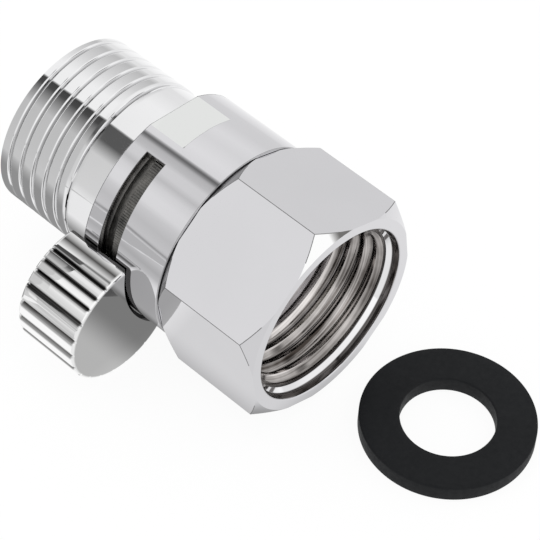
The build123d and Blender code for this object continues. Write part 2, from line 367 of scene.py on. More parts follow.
def makeChrome(name, chrome):
    material, tree, inputs, coords = newFinish(name, chrome)
    cloud = noise(coords, chrome["cloudScale"], 3.0)
    if "ringScale" in chrome:    # turned lines round the flow axis
        rings = noise(vectorOf(parts(coords)[0]), chrome["ringScale"], 3.0, 0.6)
        cloud = plus(times(cloud, 0.3), times(rings, 0.7))
    # painted shade darkens grooves, rounded edges, hollows and some bands and faces, and a painted highlight lightens
    # ground flats and a cone, each as an attribute of the mesh
    withPaintedHighlight = mixed(attribute(tree, "paintedHighlight"), stained(cloud, chrome), chrome["paintedHighlightColour"])
    withPaintedShade = mixed(attribute(tree, "shade"), withPaintedHighlight, chrome["shadeColour"])
    # faint handling marks in the shine, and the slight waves of the polished brass under the plating
    rough = spread(noise(coords, chrome["grainScale"], 4.0, 0.6), 0.35, 0.7, chrome["roughLow"], chrome["roughHigh"])
    finished(tree, inputs, withPaintedShade, rough, noise(coords, chrome["waveScale"], 2.0), chrome["waveHeight"])
    return material


# the same chrome comes in lighter and darker copies, which is painted light: the neck and the knob lighter, the barrel
# and the hex darker
chromeLook = {"colour": (0.74, 0.735, 0.755), "deepColour": (0.71, 0.706, 0.725), "paintedHighlightColour": (0.82, 0.83, 0.82),
              "shadeColour": (0.02, 0.018, 0.016), "cloudScale": 60.0, "deepAt": 0.3, "brightAt": 0.7, "grainScale": 700.0,
              "roughLow": 0.02, "roughHigh": 0.055, "waveScale": 120.0, "waveHeight": 0.003, "metallic": 1.0}
chromeBarrel = makeChrome("chromeBarrel", chromeLook)
chromeNeck = makeChrome("chromeNeck", {**chromeLook, "colour": (0.93, 0.93, 0.935), "deepColour": (0.86, 0.86, 0.87),
                                       "waveScale": 170.0, "waveHeight": 0.011})
chromeHex = makeChrome("chromeHex", {**chromeLook, "paintedHighlightColour": (0.98, 0.98, 0.98), "waveScale": 90.0, "waveHeight": 0.002})
chromeKnob = makeChrome("chromeKnob", {**chromeLook, "colour": (0.98, 0.98, 0.98), "deepColour": (0.96, 0.96, 0.96),
                                       "waveScale": 150.0, "waveHeight": 0.002})
# the bore's chrome has dark turned rings, whose darkness is painted shade inside the mouth
chromeBore = makeChrome("chromeBore", {**chromeLook, "deepColour": (0.06, 0.05, 0.044), "colour": (0.86, 0.82, 0.8),
                                       "deepAt": 0.42, "brightAt": 0.62, "shadeColour": (0.03, 0.025, 0.022), "cloudScale": 160.0,
                                       "ringScale": 1400.0, "roughLow": 0.06, "roughHigh": 0.14, "waveHeight": 0.006})
chromeLip = makeChrome("chromeLip", {**chromeLook, "colour": (0.95, 0.95, 0.96), "deepColour": (0.8, 0.79, 0.8),
                                     "shadeColour": (0.045, 0.036, 0.032), "roughLow": 0.04, "roughHigh": 0.08})


def makeRubber(name, rubber):
    material, tree, inputs, coords = newFinish(name, rubber)
    inputs["Specular IOR Level"].default_value = rubber["specular"]
    colour = stained(noise(coords, rubber["cloudScale"], 4.0), rubber)
    grain = noise(coords, rubber["grainScale"], 5.0, 0.65)
    rough = spread(grain, 0.3, 0.7, rubber["roughLow"], rubber["roughHigh"])
    finished(tree, inputs, colour, rough, grain, rubber["grainHeight"])
    return material


washerRubber = makeRubber("washerRubber", {"colour": (0.0085, 0.0095, 0.011), "deepColour": (0.006, 0.0068, 0.008), "deepAt": 0.3,
                                           "brightAt": 0.7, "cloudScale": 90.0, "specular": 0.2, "grainScale": 1800.0,
                                           "roughLow": 0.5, "roughHigh": 0.7, "grainHeight": 0.01})
sealRubber = makeRubber("sealRubber", {"colour": (0.02, 0.02, 0.02), "deepColour": (0.012, 0.012, 0.012), "deepAt": 0.3,
                                       "brightAt": 0.7, "cloudScale": 200.0, "specular": 0.45, "grainScale": 2500.0,
                                       "roughLow": 0.3, "roughHigh": 0.45, "grainHeight": 0.004})


def makeTurned(name, turned):
    # bare turned metal with fine rings round the flow axis
    material, tree, inputs, coords = newFinish(name, turned)
    cloud = noise(coords, turned["cloudScale"], 4.0, 0.6)
    rings = noise(vectorOf(parts(coords)[0]), turned["ringScale"], 2.0)
    rough = spread(cloud, 0.3, 0.7, turned["roughLow"], turned["roughHigh"])
    finished(tree, inputs, stained(cloud, turned), rough, rings, turned["ringHeight"])
    return material


steelStem = makeTurned("steelStem", {"metallic": 1.0, "colour": (0.62, 0.62, 0.61), "deepColour": (0.42, 0.42, 0.42),
                                     "deepAt": 0.3, "brightAt": 0.72, "cloudScale": 500.0, "ringScale": 4000.0,
                                     "ringHeight": 0.01, "roughLow": 0.22, "roughHigh": 0.4})
rotorBrass = makeTurned("rotorBrass", {"metallic": 0.85, "colour": (0.33, 0.32, 0.3), "deepColour": (0.07, 0.07, 0.067),
                                       "deepAt": 0.3, "brightAt": 0.72, "cloudScale": 420.0, "ringScale": 3000.0,
                                       "ringHeight": 0.006, "roughLow": 0.3, "roughHigh": 0.5})


def makeCeramic(name, ceramic):
    material, tree, inputs, coords = newFinish(name, ceramic)
    colour = stained(noise(coords, ceramic["speckScale"], 5.0, 0.7), ceramic)
    rough = spread(noise(coords, ceramic["grainScale"], 3.0), 0.3, 0.7, ceramic["roughLow"], ceramic["roughHigh"])
    finished(tree, inputs, colour, rough)
    return material


discCeramic = makeCeramic("discCeramic", {"colour": (0.83, 0.81, 0.76), "deepColour": (0.72, 0.7, 0.65), "deepAt": 0.32,
                                          "brightAt": 0.6, "speckScale": 900.0, "grainScale": 1500.0, "roughLow": 0.12,
                                          "roughHigh": 0.25})
slipPlastic = makeCeramic("slipPlastic", {"colour": (0.8, 0.8, 0.77), "deepColour": (0.7, 0.7, 0.66), "deepAt": 0.32,
                                          "brightAt": 0.6, "speckScale": 300.0, "grainScale": 800.0, "roughLow": 0.35,
                                          "roughHigh": 0.5})
print("finishes made")


# geometry node trees

def newTree(name, lengths, shares, counts):
    # the inputs have the names that the settings use, where lengths are in mm
    tree = bpy.data.node_groups.new(name, "GeometryNodeTree")
    tree.interface.new_socket("Geometry", in_out="OUTPUT", socket_type="NodeSocketGeometry")
    kinds = [("axisPoint", "Vector"), *((label, "Float") for label in lengths + shares), *((label, "Int") for label in counts),
             ("material", "Material")]
    for label, kind in kinds:
        socket = tree.interface.new_socket(label, in_out="INPUT", socket_type="NodeSocket" + kind)
        if label in lengths:
            socket.subtype = "DISTANCE"
    return tree, tree.nodes.new("NodeGroupInput").outputs


def wrappedGrid(tree, turnSteps, rows):
    # a grid whose vertices know their share of a turn (0 to 1) and their row number
    sizes = {"Size X": 1.0, "Size Y": 1.0, "Vertices X": plus(turnSteps, 1.0), "Vertices Y": rows}
    grid = nodeOf(tree, "GeometryNodeMeshGrid", sizes).outputs["Mesh"]
    position = parts(nodeOf(tree, "GeometryNodeInputPosition").outputs[0])
    lastRow = minus(rows, 1.0) if isSocket(rows) else float(rows - 1)
    return grid, plus(position[0], 0.5), calc("ROUND", times(plus(position[1], 0.5), lastRow))


def setRound(tree, given, mesh, station, radius, turn, shade=0.0):
    # puts the grid's vertices at a station, radius and share of a turn about the axis point, then welds and closes it
    inputs = {"Geometry": mesh, "Name": "shade", "Value": shade}
    mesh = nodeOf(tree, "GeometryNodeStoreNamedAttribute", inputs, data_type="FLOAT", domain="POINT").outputs[0]
    angle = times(turn, 2 * math.pi)
    local = vectorOf(station, times(radius, calc("COSINE", angle)), times(radius, calc("SINE", angle)))
    moved = nodeOf(tree, "ShaderNodeVectorMath", {0: local, 1: given["axisPoint"]}, operation="ADD").outputs[0]
    mesh = nodeOf(tree, "GeometryNodeSetPosition", {"Geometry": mesh, "Position": moved}).outputs[0]
    mesh = nodeOf(tree, "GeometryNodeMergeByDistance", {"Geometry": mesh, "Distance": 0.0000005}).outputs[0]
    mesh = nodeOf(tree, "GeometryNodeSetShadeSmooth", {0: mesh}).outputs[0]
    mesh = nodeOf(tree, "GeometryNodeRealizeInstances", {0: mesh}).outputs[0]
    mesh = nodeOf(tree, "GeometryNodeSetMaterial", {"Geometry": mesh, "Material": given["material"]}).outputs[0]
    tree.links.new(mesh, tree.nodes.new("NodeGroupOutput").inputs[0])


def fromTree(name, tree, sizes, material, axis=axisPoint):
    # one object per tree: inputs are set by their sockets' identifiers before the first evaluation
    obj = newObject(name, bpy.data.meshes.new(name))
    mod = obj.modifiers.new("shape", "NODES")
    mod.node_group = tree
    values = {**sizes, "axisPoint": axis, "material": material}
    for item in tree.interface.items_tree:
        if item.in_out == "INPUT":
            value = values[item.name]
            isLength = item.socket_type == "NodeSocketFloat" and item.subtype == "DISTANCE"
            mod[item.identifier] = value * mm if isLength else value
    applied(obj)
    bm = bmesh.new()
    bm.from_mesh(obj.data)
    bmesh.ops.dissolve_degenerate(bm, dist=0.0000005, edges=bm.edges)
    bmesh.ops.recalc_face_normals(bm, faces=bm.faces)
    bm.to_mesh(obj.data)
    bm.free()
    return obj


def threadTree():
    # one start of a right-handed thread on a tube, with a plain wall on the other side
    lengths = ("start", "end", "pitch", "phase", "landRadius", "grooveRadius", "grooveHalf", "floorHalf", "crown", "wall",
               "runOut", "edgeRadius")
    tree, given = newTree("threadTube", lengths, ("grooveShade",), ("rowsPerTurn", "turnSteps"))
    start, end, pitch = given["start"], given["end"], given["pitch"]
    turns = plus(calc("CEIL", calc("DIVIDE", minus(end, start), pitch)), 1.0)
    threadRows = plus(times(turns, given["rowsPerTurn"]), 1.0)
    mesh, turn, row = wrappedGrid(tree, given["turnSteps"], plus(threadRows, 3.0))
    halfPitch = times(pitch, 0.5)

    def surface(station):
        # the radius there, and how far up it is from the groove's floor (0) to the land (1)
        along = minus(minus(station, given["phase"]), times(turn, pitch))
        off = calc("ABSOLUTE", calc("WRAP", along, halfPitch, times(pitch, -0.5)))
        up = spread(off, given["floorHalf"], given["grooveHalf"])
        crown = calc("POWER", calc("DIVIDE", minus(halfPitch, off), halfPitch), 2.0)
        return blend(up, given["grooveRadius"], minus(given["landRadius"], times(crown, given["crown"]))), up

    # the rows follow the helix and stop at both ends
    step = calc("DIVIDE", pitch, given["rowsPerTurn"])
    free = plus(plus(start, times(row, step)), times(minus(turn, 1.0), pitch))
    station = calc("MINIMUM", calc("MAXIMUM", free, start), end)
    radius, up = surface(station)
    radius = blend(spread(minus(end, station), 0.0, given["runOut"]), given["edgeRadius"], radius)
    # the last three rows close the tube over its wall
    isWall = calc("GREATER_THAN", row, minus(threadRows, 0.5))
    isFarWall = calc("COMPARE", row, threadRows, 0.1)
    isFirst = calc("GREATER_THAN", row, plus(threadRows, 1.5))
    station = blend(isWall, station, blend(isFarWall, start, end))
    radius = blend(isWall, radius, blend(isFirst, given["wall"], surface(start)[0]))
    # painted shade darkens the grooves towards their floors
    shade = times(calc("POWER", minus(1.0, up), 3.0), given["grooveShade"])
    setRound(tree, given, mesh, station, radius, turn, shade)
    return tree


threads = threadTree()

# outlet thread: wide polished lands between narrow grooves
outletThread = {"start": -39.85, "end": -29.6, "pitch": 1.814, "phase": -37.56, "landRadius": 10.4775, "grooveRadius": 10.04,
                "grooveHalf": 0.25, "floorHalf": 0.03, "crown": 0.015, "grooveShade": 0.6, "wall": 7.2, "runOut": 0.12,
                "edgeRadius": 10.28, "rowsPerTurn": 28, "turnSteps": 216}
thread = fromTree("outletThread", threads, outletThread, chromeNeck)
smoothed(thread, 50)
finishPiece(thread, "valve", chromeNeck, "chrome_body", "valve_body")

# barrel with the lever's slot and the wrench flats, and the neck behind it
barrel = {"front": -13.86, "end": -25.0, "radius": 12.2, "frontRound": 0.2, "endRound": 0.1, "bore": 10.8, "socket": 11.2,
          "socketEnd": -17.05, "shoulder": -24.0, "hole": 8.45, "steps": 256, "slotWidth": 2.65, "slotTravel": 85.0,
          "slotMargin": 6.0, "slotFloor": 10.0, "slotTop": 13.0, "slotSteps": 60, "flatDepth": 0.54, "flatLength": 4.9,
          "flatArea": 8.0, "cutHalf": 6.0, "cutHeight": 3.0, "cutSpare": 0.5, "edgeSoft": 0.06, "edgeShade": 0.45}
section = rounded([
    (barrel["front"], barrel["socket"]), (barrel["front"], barrel["radius"]), (barrel["end"], barrel["radius"]),
    (barrel["end"], barrel["hole"]), (barrel["shoulder"], barrel["hole"]), (barrel["shoulder"], barrel["bore"]),
    (barrel["socketEnd"], barrel["bore"]), (barrel["socketEnd"], barrel["socket"])],
    {1: barrel["frontRound"], 2: barrel["endRound"]})
body = newObject("barrel", latheMesh("barrel", section, barrel["steps"]))


def slotRow(share):
    # the corners of the slot's cutter at a share of its turn
    low, high = leverTurn - barrel["slotTravel"] - barrel["slotMargin"], leverTurn + barrel["slotMargin"]
    rear, front = slotMiddle - barrel["slotWidth"] / 2, slotMiddle + barrel["slotWidth"] / 2
    corners = ((rear, barrel["slotFloor"]), (rear, barrel["slotTop"]), (front, barrel["slotTop"]), (front, barrel["slotFloor"]))
    return [place(station, radius, low + (high - low) * share) for station, radius in corners]


def flatRows(turn):
    # a block over the barrel's end that cuts one wrench flat
    side = outwards(turn).cross(alongFlow) * barrel["cutHalf"] * mm
    base = place(barrel["end"] - barrel["cutSpare"], barrel["radius"] - barrel["flatDepth"], turn)
    run = alongFlow * (barrel["flatLength"] + barrel["cutSpare"]) * mm
    corners = [base - side, base - side + run, base + side + run, base + side]
    return corners, [corner + outwards(turn) * barrel["cutHeight"] * mm for corner in corners]


combine(body, prismMesh("slotCutter", [slotRow(k / barrel["slotSteps"]) for k in range(barrel["slotSteps"] + 1)]))
for turn in (flatTurn, flatTurn + 180):
    combine(body, prismMesh("flatCutter", flatRows(turn)))
flatsOut = [outwards(flatTurn), outwards(flatTurn + 180)]
polished(body, barrel, [alongFlow, againstFlow] + flatsOut)
# a painted highlight lightens the large wrench flats
paintedHighlight = newShade(body, "paintedHighlight")
for face in body.data.polygons:
    isFlat = face.area > barrel["flatArea"] * mm * mm and any(face.normal.dot(out) > 0.9999 for out in flatsOut)
    paintedHighlight[face.index].value = 1.0 if isFlat else 0.0
finishPiece(body, "valve", chromeBarrel, "chrome_body", "valve_body")

neck = {"front": -24.6, "radius": 10.3, "end": -29.6, "hole": 8.45, "holeEnd": -28.9, "waterway": 7.2, "steps": 256}
neckSection = [(neck["front"], neck["hole"]), (neck["front"], neck["radius"]), (neck["end"], neck["radius"]),
               (neck["end"], neck["waterway"]), (neck["holeEnd"], neck["waterway"]), (neck["holeEnd"], neck["hole"])]
neckPiece = newObject("neck", latheMesh("neck", neckSection, neck["steps"]))
smoothed(neckPiece, 30)
finishPiece(neckPiece, "valve", chromeNeck, "chrome_body", "valve_body")

# inlet hex, with a smooth lip inside its mouth
hexSizes = {"acrossFlats": 23.7, "length": 13.8, "faceRadius": 12.02, "frontChamfer": 1.35, "rearChamfer": 1.7, "coneSteps": 360,
            "mouthRadius": 10.73, "lipRadius": 10.55, "lipEnd": -1.0, "stepRadius": 10.12, "stepEnd": -1.42, "threadStart": -1.75,
            "threadEnd": -8.6, "boreSteps": 256, "relief": 10.9, "waterway": 6.0, "pocketFloor": -10.6, "pocket": 8.6,
            "pocketEnd": -17.5, "spigotStart": -13.0, "spigotSteps": 192, "spigotBore": 8.0, "spigotEnd": -17.0, "spigot": 11.18,
            "sealGroove": 10.18, "sealGrooveEnd": -15.1, "rimRound": 0.12, "bevelFrom": 12.5, "edgeSoft": 0.05, "edgeShade": 0.72,
            "rearFrom": -12.0, "rearShade": 0.65, "highlightFrom": -2.6, "highlightHalfTurn": 14.0, "highlightFade": 12.0}
cornerRadius = hexSizes["acrossFlats"] / 2 / math.cos(math.pi / 6)
outline = [place(-hexSizes["length"], cornerRadius, cornerTurn + 60 * k) for k in range(6)]
hexRun = Vector((hexSizes["length"] * mm, 0, 0))
hexBlock = newObject("inletHex", prismMesh("inletHex", (outline, [corner + hexRun for corner in outline])))
# the turned ends' cones go on outwards in line past the corners, for 1 mm of length
frontSlope = (cornerRadius - hexSizes["faceRadius"]) / hexSizes["frontChamfer"]
rearSlope = (cornerRadius - hexSizes["faceRadius"]) / hexSizes["rearChamfer"]
coneEnds = [(0, 0), (0, hexSizes["faceRadius"]), (-hexSizes["frontChamfer"] - 1.0, cornerRadius + frontSlope),
            (hexSizes["rearChamfer"] + 1.0 - hexSizes["length"], cornerRadius + rearSlope),
            (-hexSizes["length"], hexSizes["faceRadius"]), (-hexSizes["length"], 0)]
combine(hexBlock, latheMesh("hexCones", coneEnds, hexSizes["coneSteps"]), "INTERSECT")
spigotSection = [(hexSizes["spigotStart"], hexSizes["spigotBore"]), (hexSizes["spigotStart"], hexSizes["sealGroove"]),
                 (hexSizes["sealGrooveEnd"], hexSizes["sealGroove"]), (hexSizes["sealGrooveEnd"], hexSizes["spigot"]),
                 (hexSizes["spigotEnd"], hexSizes["spigot"]), (hexSizes["spigotEnd"], hexSizes["spigotBore"])]
combine(hexBlock, latheMesh("spigot", spigotSection, hexSizes["spigotSteps"]), "UNION")
rim = hexSizes["rimRound"]
rimArc = [(rim * (math.sin(a) - 1), hexSizes["mouthRadius"] + rim * (1 - math.cos(a)))
          for a in (math.radians(90 - 22.5 * k) for k in range(5))]
boreSection = [(1.0, 0), (1.0, hexSizes["mouthRadius"] + rim), *rimArc, (hexSizes["lipEnd"], hexSizes["lipRadius"]),
               (hexSizes["stepEnd"], hexSizes["stepRadius"]), (hexSizes["threadStart"], hexSizes["stepRadius"]),
               (hexSizes["threadStart"], hexSizes["relief"]), (hexSizes["threadEnd"], hexSizes["relief"]),
               (hexSizes["threadEnd"], hexSizes["waterway"]), (hexSizes["pocketFloor"], hexSizes["waterway"]),
               (hexSizes["pocketFloor"], hexSizes["pocket"]), (hexSizes["pocketEnd"], hexSizes["pocket"]),
               (hexSizes["pocketEnd"], 0)]
combine(hexBlock, latheMesh("bore", boreSection, hexSizes["boreSteps"]))
sidesOut = [outwards(cornerTurn + 30 + 60 * k) for k in range(6)]
polished(hexBlock, hexSizes, [alongFlow, againstFlow] + sidesOut, hexSizes["bevelFrom"])
# a painted highlight on the front cone round its top corner, and painted shade on the turned cone at the rear beside
# the barrel
paintedHighlight = newShade(hexBlock, "paintedHighlight")
shade = hexBlock.data.attributes["shade"].data
for face in hexBlock.data.polygons:
    c = face.center
    fromTop = abs(math.degrees(math.atan2(c.z - axisZ, c.y - axisY)) - cornerTurn - 180)
    if 0.4 < face.normal.x < 0.9 and stationOf(c) > hexSizes["highlightFrom"]:
        paintedHighlight[face.index].value = max(0.0, 1.0 - max(0.0, fromTop - hexSizes["highlightHalfTurn"]) / hexSizes["highlightFade"])
    if -0.9 < face.normal.x < -0.5 and stationOf(c) < hexSizes["rearFrom"]:
        shade[face.index].value = hexSizes["rearShade"]
finishPiece(hexBlock, "valve", chromeHex, "chrome_hex", "inlet_hex")

# a ring lines the mouth: a smooth lip, a step, and the first groove, as (station, radius, painted shade), dark on the
# lip and in the groove
mouthRing = [(-0.1, 10.7, 0.3), (-0.2, 10.685, 0.85), (-0.3, 10.665, 0.93), (-0.6, 10.6, 0.88), (-0.9, 10.54, 0.93),
             (-1.0, 10.48, 0.0), (-1.4, 10.1, 0.0), (-1.46, 10.07, 0.85), (-1.75, 10.05, 0.85), (-1.9, 10.28, 0.8),
             (-1.9, 11.2, 0.0), (-0.1, 11.2, 0.0)]
lining = newObject("mouthLining", latheMesh("mouthLining", [point[:2] for point in mouthRing], hexSizes["boreSteps"]))
shade = newShade(lining, domain="POINT")
for v in lining.data.vertices:
    station, radius = stationOf(v.co), radiusOf(v.co)
    shade[v.index].value = min(mouthRing, key=lambda point: abs(point[0] - station) + abs(point[1] - radius))[2]
smoothed(lining, 28)
finishPiece(lining, "valve", chromeLip, "chrome_hex", "inlet_hex")

inletThread = {"start": -8.6, "end": -1.6, "pitch": 1.814, "phase": -5.0, "landRadius": 9.3155, "grooveRadius": 10.0,
               "grooveHalf": 0.75, "floorHalf": 0.1, "crown": 0.0, "grooveShade": 0.35, "wall": 11.0, "runOut": 0.3,
               "edgeRadius": 9.9, "rowsPerTurn": 20, "turnSteps": 192}
female = fromTree("inletThread", threads, inletThread, chromeBore)
smoothed(female, 30)
finishPiece(female, "valve", chromeBore, "chrome_hex", "inlet_hex")


# knob with fine grooves cut along it
def falling(value, reach):
    # from 1 down to 0 where the value gets to its reach
    return calc("SUBTRACT", 1.0, calc("DIVIDE", value, reach), clamp=True)


def groovedTree(grooves, spare):
    tree, given = newTree("groovedDisc", ("halfThickness", "radius", "grooveDepth", "crown", "bevel"),
                          ("grooveShare", "grooveShade", "shadeShare", "bandAngle", "bandWidth", "lastBandFrom", "lastBandTo",
                           "faceShade"), ("turnSteps",))
    lastRow = 9
    mesh, turn, row = wrappedGrid(tree, given["turnSteps"], lastRow + 1)
    # the turn is measured from the side away from the barrel, and a curve gives the number of the groove there
    centred = calc("WRAP", turn, 0.5, -0.5)
    low, high = (grooves[-1] - spare) / 360, (grooves[0] + spare) / 360
    steps = len(grooves) + 1
    curve = nodeOf(tree, "ShaderNodeFloatCurve", {"Value": spread(centred, low, high)})
    points = curve.mapping.curves[0].points
    inner = [((g / 360 - low) / (high - low), (k + 1) / steps) for k, g in reversed(list(enumerate(grooves)))]
    wanted = [(0.0, 1.0), *inner, (1.0, 0.0)]
    while len(points) < len(wanted):
        points.new(0.5, 0.5)
    for point, spot in zip(points, wanted):
        point.location = spot
        point.handle_type = "VECTOR"
    curve.mapping.update()
    along = times(curve.outputs[0], float(steps))
    cell = calc("ABSOLUTE", minus(calc("FRACT", plus(along, 0.5)), 0.5))
    near = times(calc("GREATER_THAN", along, 0.5), calc("LESS_THAN", along, steps - 0.5))
    swell = calc("POWER", minus(1.0, times(cell, 2.0)), 2.5)
    cut = plus(times(falling(cell, given["grooveShare"]), given["grooveDepth"]), times(swell, given["crown"]))
    rim = minus(given["radius"], times(cut, near))
    # painted shade darkens the grooves
    paintedGrooveShade = calc("POWER", falling(cell, given["shadeShare"]), 0.8)
    shade = times(times(paintedGrooveShade, near), given["grooveShade"])
    # rows go from the middle of one face over its round to the rim, and back to the middle of the other
    fromEnd = calc("MINIMUM", row, minus(float(lastRow), row))
    bend = spread(fromEnd, 1.0, 4.0, 0.0, math.pi / 2)
    inset = times(minus(1.0, calc("SINE", bend)), given["bevel"])
    drop = times(minus(1.0, calc("COSINE", bend)), given["bevel"])
    # the round is turned on the knob, so that the grooves run out on it
    radius = times(calc("MINIMUM", rim, minus(given["radius"], inset)), calc("GREATER_THAN", fromEnd, 0.5))
    side = minus(times(calc("GREATER_THAN", row, lastRow / 2), 2.0), 1.0)
    station = times(side, minus(given["halfThickness"], drop))
    # painted shade in two dark bands on the bare top of the rim, beside the barrel, stands for its reflection there
    topAngle = times(centred, -360.0)
    firstBand = falling(calc("ABSOLUTE", minus(topAngle, given["bandAngle"])), given["bandWidth"])
    lastBand = spread(topAngle, given["lastBandFrom"], given["lastBandTo"], 0.0, 0.8)
    shade = calc("MAXIMUM", shade, calc("MAXIMUM", times(firstBand, 0.95), lastBand))
    # painted shade makes both flat faces duller than the rim
    onRim, onFace = calc("GREATER_THAN", fromEnd, 3.5), calc("LESS_THAN", fromEnd, 1.5)
    shade = plus(times(shade, onRim), times(onFace, given["faceShade"]))
    setRound(tree, given, mesh, station, radius, plus(centred, leverTurn / 360), shade)
    return tree


knobSizes = {"radius": 7.596, "halfThickness": 4.25, "fromAxis": 14.04, "shift": -0.895, "grooveDepth": 0.34, "grooveShare": 0.18,
             "crown": 0.07, "grooveShade": 1.0, "shadeShare": 0.3, "spareTurn": 14.0, "bevel": 0.42, "clearance": 0.14,
             "flare": 0.5, "flareLength": 0.45, "hollowShade": 0.9, "hollowSteps": 256,
             "hollowEnds": (-35.0, -8.0), "bandAngle": 108.0, "bandWidth": 8.0,
             "lastBandFrom": 117.0, "lastBandTo": 121.0, "faceShade": 0.48, "turnSteps": 1200,
             "grooves": [92.5, 81.5, 69.0, 54.0, 38.0, 22.5, 7.0, -8.5, -25.5, -41.0, -59.0, -73.0, -83.5, -94.5]}
knobCentre = place(slotMiddle + knobSizes["shift"], knobSizes["fromAxis"], leverTurn)
knobTree = groovedTree(knobSizes["grooves"], knobSizes["spareTurn"])
knob = fromTree("groovedKnob", knobTree, knobSizes, chromeKnob, knobCentre)
inner, outer = barrel["radius"] + knobSizes["clearance"], barrel["radius"] + knobSizes["flare"]
knobFront = slotMiddle + knobSizes["shift"] + knobSizes["halfThickness"]
first, last = knobSizes["hollowEnds"]
hollow = [(first, 0), (first, inner), (knobFront - knobSizes["flareLength"], inner), (knobFront, outer), (last, outer), (last, 0)]
combine(knob, latheMesh("knobHollow", hollow, knobSizes["hollowSteps"]))
smoothed(knob, 32, [alongFlow, againstFlow])
# the painted shade of each face's corners: even on the two flat faces, dark in the hollow
pointShade = [v.value for v in knob.data.attributes["shade"].data]
knob.data.attributes.remove(knob.data.attributes["shade"])
shade = newShade(knob, domain="CORNER")
for face in knob.data.polygons:
    isFlat = abs(face.normal.x) > 0.9999
    isHollow = not isFlat and radiusOf(face.center) < outer + 0.01
    for loop in face.loop_indices:
        own = pointShade[knob.data.loops[loop].vertex_index]
        shade[loop].value = knobSizes["faceShade"] if isFlat else knobSizes["hollowShade"] if isHollow else own
finishPiece(knob, "lever", chromeKnob, "chrome_knob", "knob")


# rotor with its knurled band, which shows through the slot
def knurlTree():
    tree, given = newTree("knurledRotor", ("front", "bandEdge", "rear", "radius", "step", "bore", "ribHeight"), (), ("ribCount",))
    front, edge, rear, full, bore = [given[label] for label in ("front", "bandEdge", "rear", "radius", "bore")]
    low = minus(full, given["step"])
    corners = [(front, bore), (front, full), (front, full), (edge, full), (edge, low), (rear, low), (rear, bore), (front, bore),
               (front, bore)]
    mesh, turn, row = wrappedGrid(tree, times(given["ribCount"], 6.0), len(corners))
    isRow = [calc("COMPARE", row, float(number), 0.1) for number in range(len(corners))]
    station = reduce(plus, [times(here, corner[0]) for here, corner in zip(isRow, corners)])
    radius = reduce(plus, [times(here, corner[1]) for here, corner in zip(isRow, corners)])
    # the rows along the band carry the ribs
    rib = calc("PINGPONG", times(turn, given["ribCount"]), 0.5)
    ribs = times(minus(0.5, rib), times(given["ribHeight"], 2.0))
    isBand = times(calc("GREATER_THAN", row, 1.5), calc("LESS_THAN", row, 3.5))
    setRound(tree, given, mesh, station, minus(radius, times(ribs, isBand)), turn)
    return tree


rotorSizes = {"front": -19.1, "bandEdge": -22.12, "rear": -23.3, "radius": 10.75, "step": 0.42, "bore": 8.6, "ribCount": 216,
              "ribHeight": 0.1, "coreSteps": 160}
band = fromTree("knurledBand", knurlTree(), rotorSizes, rotorBrass)
coreSection = [
    (-16.52, 6.3), (-16.52, 7.3), (-17.1, 7.3), (-17.1, 10.75), (-17.7, 10.75), (-17.7, 9.75), (-19.0, 9.75), (-19.0, 10.3),
    (-23.3, 10.3), (-23.3, 8.4), (-26.96, 8.4), (-26.96, 7.4), (-28.26, 7.4), (-28.26, 8.4), (-28.86, 8.4), (-28.86, 5.0),
    (slotMiddle, 5.0)]
coreRounds = {3: 0.1, 4: 0.1, 9: 0.1, 14: 0.1, 15: 0.2}
rotorCore = newObject("rotorCore", latheMesh("rotorCore", rounded(coreSection, coreRounds), rotorSizes["coreSteps"]))
smoothed(rotorCore, 30)
smoothed(band, 20)
finishPiece(rotorCore, "lever", rotorBrass, "rotor_brass", "rotor")
finishPiece(band, "lever", rotorBrass, "rotor_brass", "rotor")

# washer
washer = {"bore": 5.25, "radius": 9.696, "thickness": 2.0, "edge": 0.22, "dish": 0.03, "dishRadius": 7.5, "dishRound": 1.2,
          "steps": 200}
washerLow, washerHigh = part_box("inlet_washer")
washerMiddle = (washerLow + washerHigh) / 2


def washerPlace(radius, height, turn):
    a = math.radians(turn)
    return Vector((washerMiddle.x + radius * mm * math.cos(a), washerMiddle.y + radius * mm * math.sin(a), height * mm))


ring = rounded([(washer["bore"], 0), (washer["radius"], 0), (washer["radius"], washer["thickness"]),
                (washer["dishRadius"], washer["thickness"] - washer["dish"]), (washer["bore"], washer["thickness"])],
               {0: washer["edge"], 1: washer["edge"], 2: washer["edge"], 3: washer["dishRound"], 4: washer["edge"]}, 4)
washerPiece = newObject("rubberWasher", latheMesh("rubberWasher", ring, washer["steps"], washerPlace))
smoothed(washerPiece, 40)
finishPiece(washerPiece, "valve", washerRubber, "washer_rubber", "inlet_washer")
washerPiece.visible_glossy = False    # the bright ring of the mouth doesn't mirror it

# finishes of the parts that keep their CAD shape
cadFinishes = {"knob_stem": steelStem, "moving_disc": discCeramic, "fixed_disc": discCeramic, "disc_seal": sealRubber,
               "inlet_o_ring": sealRubber, "outlet_o_ring": sealRubber, "body_o_ring": sealRubber, "slip_ring": slipPlastic}
for nodeName, material in cadFinishes.items():
    node = frame["nodes"][nodeName]
    node.data.materials.clear()
    node.data.materials.append(material)
print("pieces made")

# studio
view = {"place": (0.122, -0.14142, 0.22572), "right": (0.72373, 0.68831, 0.04939), "down": (0.53975, -0.52002, -0.66201),
        "lens": 177.35}
studio = {"floorRadius": 6.0, "floorColour": 0.86, "seenShare": 0.9, "seenWhite": 1.03, "fill": 0.85, "frontWhite": 1.0,
          "lampStrength": 0.2, "lampSize": 0.35, "lampPlace": (-0.1, -0.05, 0.45),
          "standTowards": (0.774, 0.591, 0.227), "standColour": (0.08, 0.075, 0.07), "standEdge": (0.984, 0.998),
          "standShare": 0.9, "frontEdge": (0.35, 0.6), "farSideEdge": (-0.0105, -0.0075),
          "bodyPool": {"alongX": (-11.5, 18.5), "alongY": (1.5, 8.0), "reach": 5.0, "tone": 0.42}}
white = (1, 1, 1, 1)


